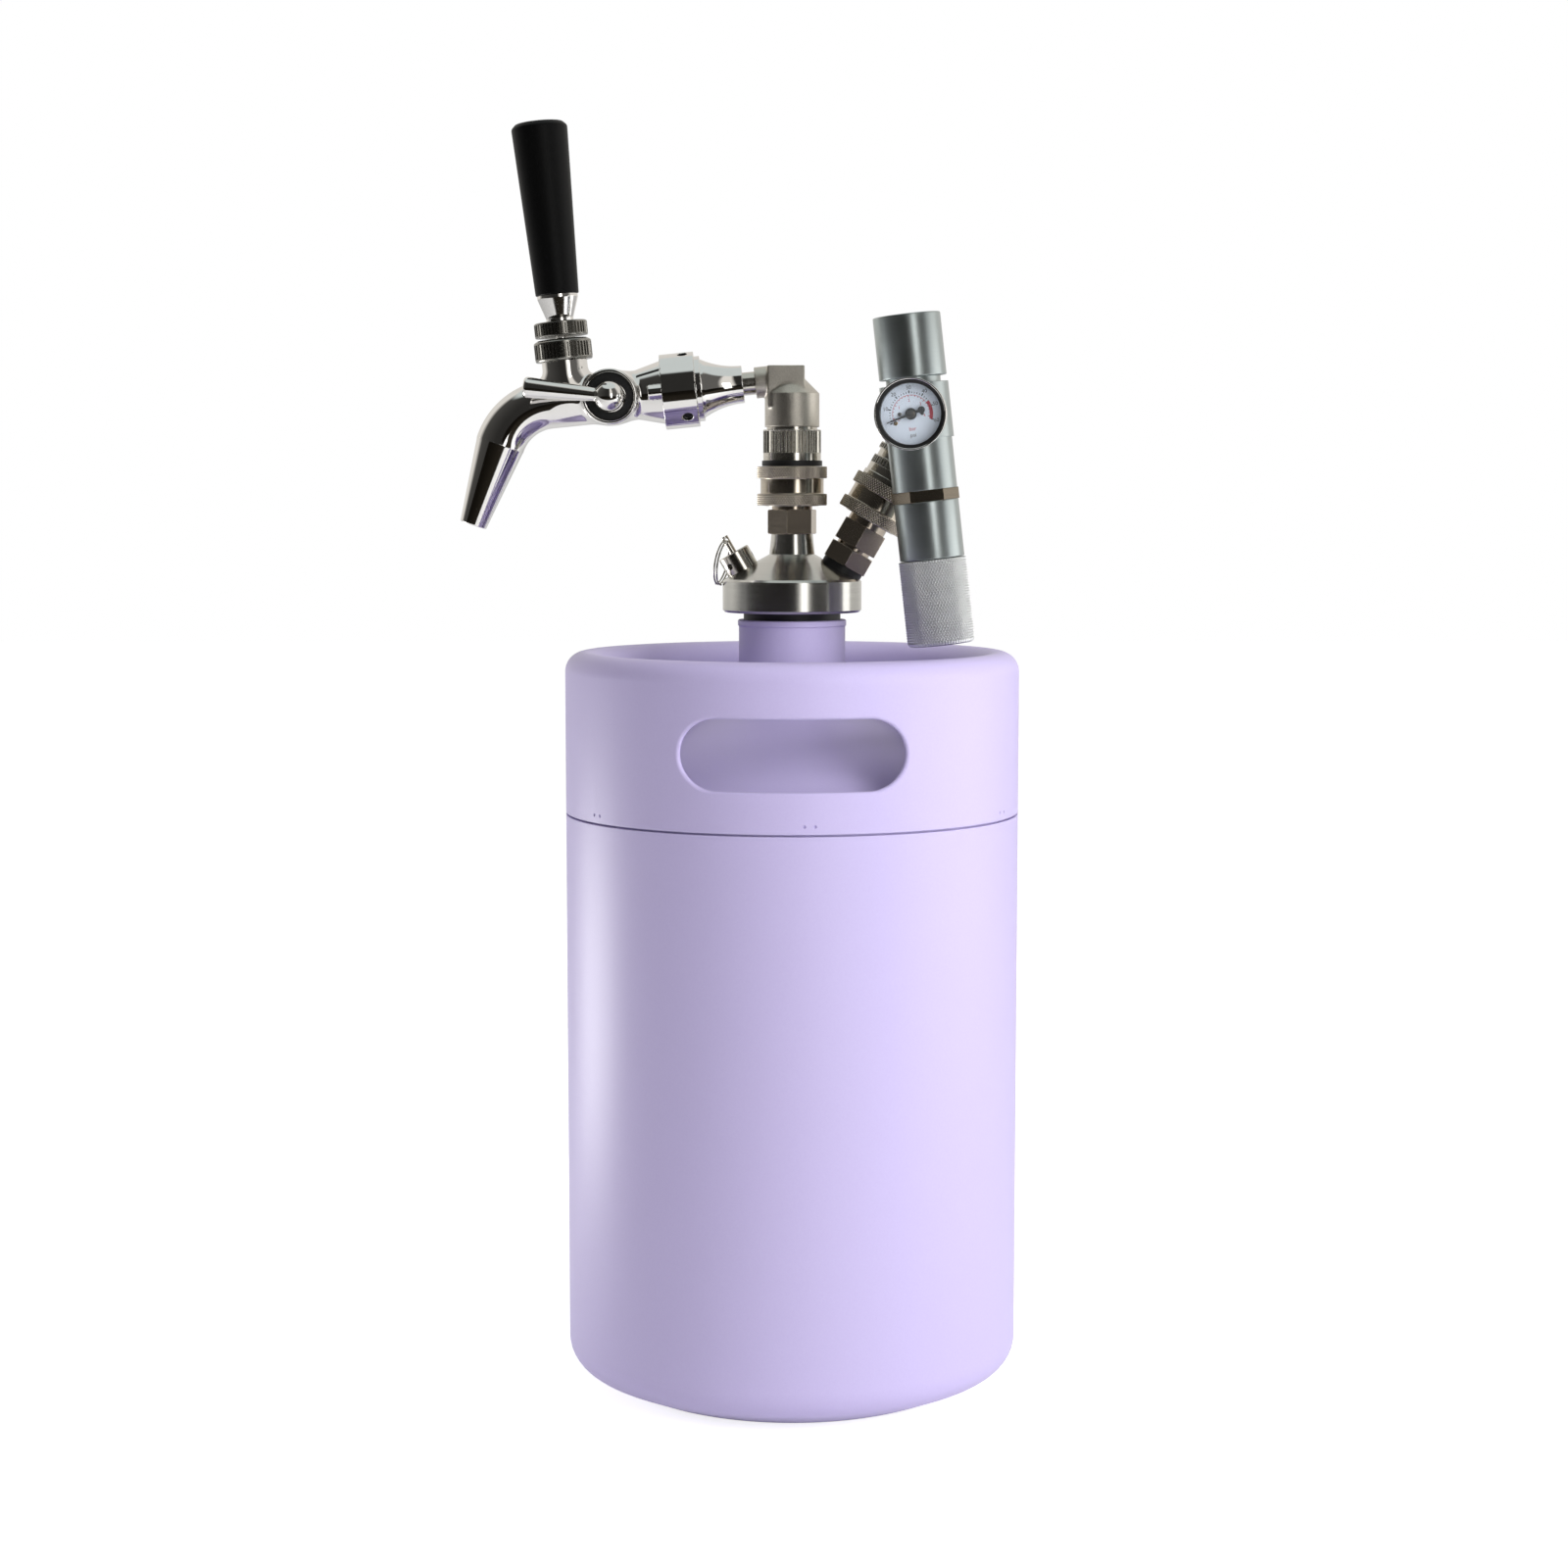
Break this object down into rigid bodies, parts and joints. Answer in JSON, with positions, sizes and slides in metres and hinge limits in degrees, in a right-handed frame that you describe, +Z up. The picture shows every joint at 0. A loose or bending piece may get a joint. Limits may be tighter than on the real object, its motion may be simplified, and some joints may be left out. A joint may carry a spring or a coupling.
{
  "type": "insulated mini keg dispenser",
  "caption": "Round insulated mini keg with handle slots, a screw cap, a swivelling ball-lock tap with pull handle, and a cartridge regulator with pressure gauge.",
  "frame": {"origin": "centre of the base ring, on the surface the keg stands on", "axes": "+Z up along the keg, -X towards the tap's spout, -Y towards the pressure gauge and the viewer of the picture"},
  "size_m": [0.2212, 0.18, 0.5011],
  "materials": {
    "lilac_coat": "satin lilac powder coat with a fine grain",
    "vessel_steel": "plain stainless sheet",
    "cap_steel": "turned stainless, fine ring marks",
    "post_steel": "machined stainless with a warm tone",
    "machined_steel": "machined stainless with splines and knurls",
    "cast_steel": "cast stainless, blasted",
    "polished_steel": "polished stainless",
    "dark_chrome": "dark chrome, straight ribs",
    "black_plastic": "black, fine grain",
    "satin_aluminium": "satin with fine turning",
    "knob_aluminium": "bright diamond knurl",
    "nut_steel": "brownish steel",
    "spring_steel": "bright wire",
    "seal_rubber": "black rubber",
    "poppet_plastic": "dark plastic",
    "gauge_chrome": "bright bezel and case",
    "dial_white": null,
    "needle_black": "black needle",
    "lens_glass": "clear window",
    "tube_brass": "plain brass tube"
  },
  "bodies": {
    "keg": {"outer_shell": "lilac_coat", "base_plate": "lilac_coat", "top_collar": "lilac_coat", "shoulder_dome": "lilac_coat", "inner_vessel": "vessel_steel", "keg_neck": "lilac_coat"},
    "gasket": {"cap_gasket": "seal_rubber"},
    "cap": {"keg_cap": "cap_steel", "dip_tube": "vessel_steel", "liquid_post": "post_steel", "gas_adapter_oring": "seal_rubber", "gas_adapter": "post_steel", "gas_post": "post_steel", "post_orings": "seal_rubber", "post_poppets": "poppet_plastic", "poppet_springs": "spring_steel", "prv_body": "machined_steel", "prv_spring": "spring_steel"},
    "prv_stem": {"prv_stem": "machined_steel"},
    "prv_ring": {"prv_ring": "spring_steel"},
    "tap": {"liquid_disconnect": "machined_steel", "liquid_lock_balls": "spring_steel", "liquid_stop_ring": "seal_rubber", "liquid_collar_spring": "spring_steel", "liquid_elbow": "cast_steel", "inlet_tail": "machined_steel", "shank_adapter": "polished_steel", "shank_washer": "seal_rubber", "coupling_nut": "polished_steel", "faucet_body": "polished_steel", "spout_tip": "polished_steel", "bonnet_nut": "dark_chrome", "flow_seal_ring": "seal_rubber"},
    "liquid_collar": {"liquid_collar": "machined_steel"},
    "gas_collar": {"gas_collar": "machined_steel"},
    "handle": {"handle_lever": "polished_steel", "handle_lock_nut": "dark_chrome", "handle_ferrule": "polished_steel", "tap_handle": "black_plastic"},
    "shaft": {"faucet_shaft": "machined_steel"},
    "flow_lever": {"flow_lever": "polished_steel"},
    "regulator": {"gas_disconnect": "machined_steel", "gas_lock_balls": "spring_steel", "gas_collar_spring": "spring_steel", "gas_elbow": "cast_steel", "regulator_body": "satin_aluminium", "cartridge_socket": "satin_aluminium", "piercing_pin": "machined_steel", "hex_lock_nut": "nut_steel", "spring_tube": "satin_aluminium", "regulator_spring": "spring_steel", "diaphragm": "seal_rubber", "gauge_case": "gauge_chrome", "bourdon_tube": "tube_brass", "gauge_dial": "dial_white", "gauge_lens": "lens_glass", "gauge_bezel": "gauge_chrome"},
    "knob": {"adjusting_knob": "knob_aluminium"},
    "spring_plate": {"spring_plate": "vessel_steel"},
    "needle": {"gauge_needle": "needle_black"}
  },
  "joints": [
    {"name": "cap_lift", "type": "slide", "parent": "keg", "child": "gasket", "axis": [0, 0, 1], "range_m": [0, 0.01501]},
    {"name": "cap_turn", "type": "hinge", "parent": "gasket", "child": "cap", "pos_m": [0, 0, 0.3], "axis": [0, 0, 1], "range_deg": [0, 1800]},
    {"name": "prv_lift", "type": "slide", "parent": "cap", "child": "prv_stem", "axis": [-0.5, 0, 0.866], "range_m": [0, 0.002], "stiffness_N_per_m": 200, "springref_m": -0.004, "deforming": ["prv_spring"]},
    {"name": "prv_ring_swing", "type": "hinge", "parent": "prv_stem", "child": "prv_ring", "pos_m": [-0.026, 0, 0.33754], "axis": [0.2924, 0.9563, 0], "range_deg": [0, 90]},
    {"name": "tap_swivel", "type": "hinge", "parent": "cap", "child": "tap", "pos_m": [0, 0, 0.3515], "axis": [0, 0, 1], "range_deg": [-135, 75]},
    {"name": "liquid_collar_lift", "type": "slide", "parent": "tap", "child": "liquid_collar", "axis": [0, 0, 1], "range_m": [0, 0.0024], "stiffness_N_per_m": 400, "springref_m": -0.004, "deforming": ["liquid_collar_spring"]},
    {"name": "handle_pull", "type": "hinge", "parent": "tap", "child": "handle", "pos_m": [-0.08881, 0, 0.40002], "axis": [0, -1, 0], "range_deg": [0, 20]},
    {"name": "shaft_draw", "type": "slide", "parent": "tap", "child": "shaft", "axis": [0.9949, 0, 0.1011], "range_m": [0, 0.0028]},
    {"name": "flow_turn", "type": "hinge", "parent": "tap", "child": "flow_lever", "pos_m": [-0.07113, -0.0178, 0.39377], "axis": [0, -1, 0], "range_deg": [-90, 30]},
    {"name": "regulator_swivel", "type": "hinge", "parent": "cap", "child": "regulator", "pos_m": [0.03055, 0, 0.34542], "axis": [0.5, 0, 0.866], "range_deg": [-20, 20]},
    {"name": "gas_collar_lift", "type": "slide", "parent": "regulator", "child": "gas_collar", "axis": [0.5, 0, 0.866], "range_m": [0, 0.0024], "stiffness_N_per_m": 400, "springref_m": -0.004, "deforming": ["gas_collar_spring"]},
    {"name": "knob_turn", "type": "hinge", "parent": "regulator", "child": "knob", "pos_m": [0.05399, -0.03, 0.33121], "axis": [-0.1113, 0, 0.9938], "range_deg": [0, 1800]},
    {"name": "plate_travel", "type": "slide", "parent": "regulator", "child": "spring_plate", "axis": [-0.1113, 0, 0.9938], "range_m": [0, 0.00626], "deforming": ["regulator_spring"]},
    {"name": "needle_sweep", "type": "hinge", "parent": "regulator", "child": "needle", "pos_m": [0.04409, -0.05674, 0.38585], "axis": [0.1383, 0.9903, 0.0155], "range_deg": [0, 215], "stiffness_Nm_per_rad": 0.00002}
  ],
  "couplings": [
    {"joint": "cap_lift", "follows": "cap_turn", "m_per_rad": 0.00047746},
    {"joint": "shaft_draw", "follows": "handle_pull", "m_per_rad": 0.008},
    {"joint": "plate_travel", "follows": "knob_turn", "m_per_rad": 0.00019894}
  ]
}
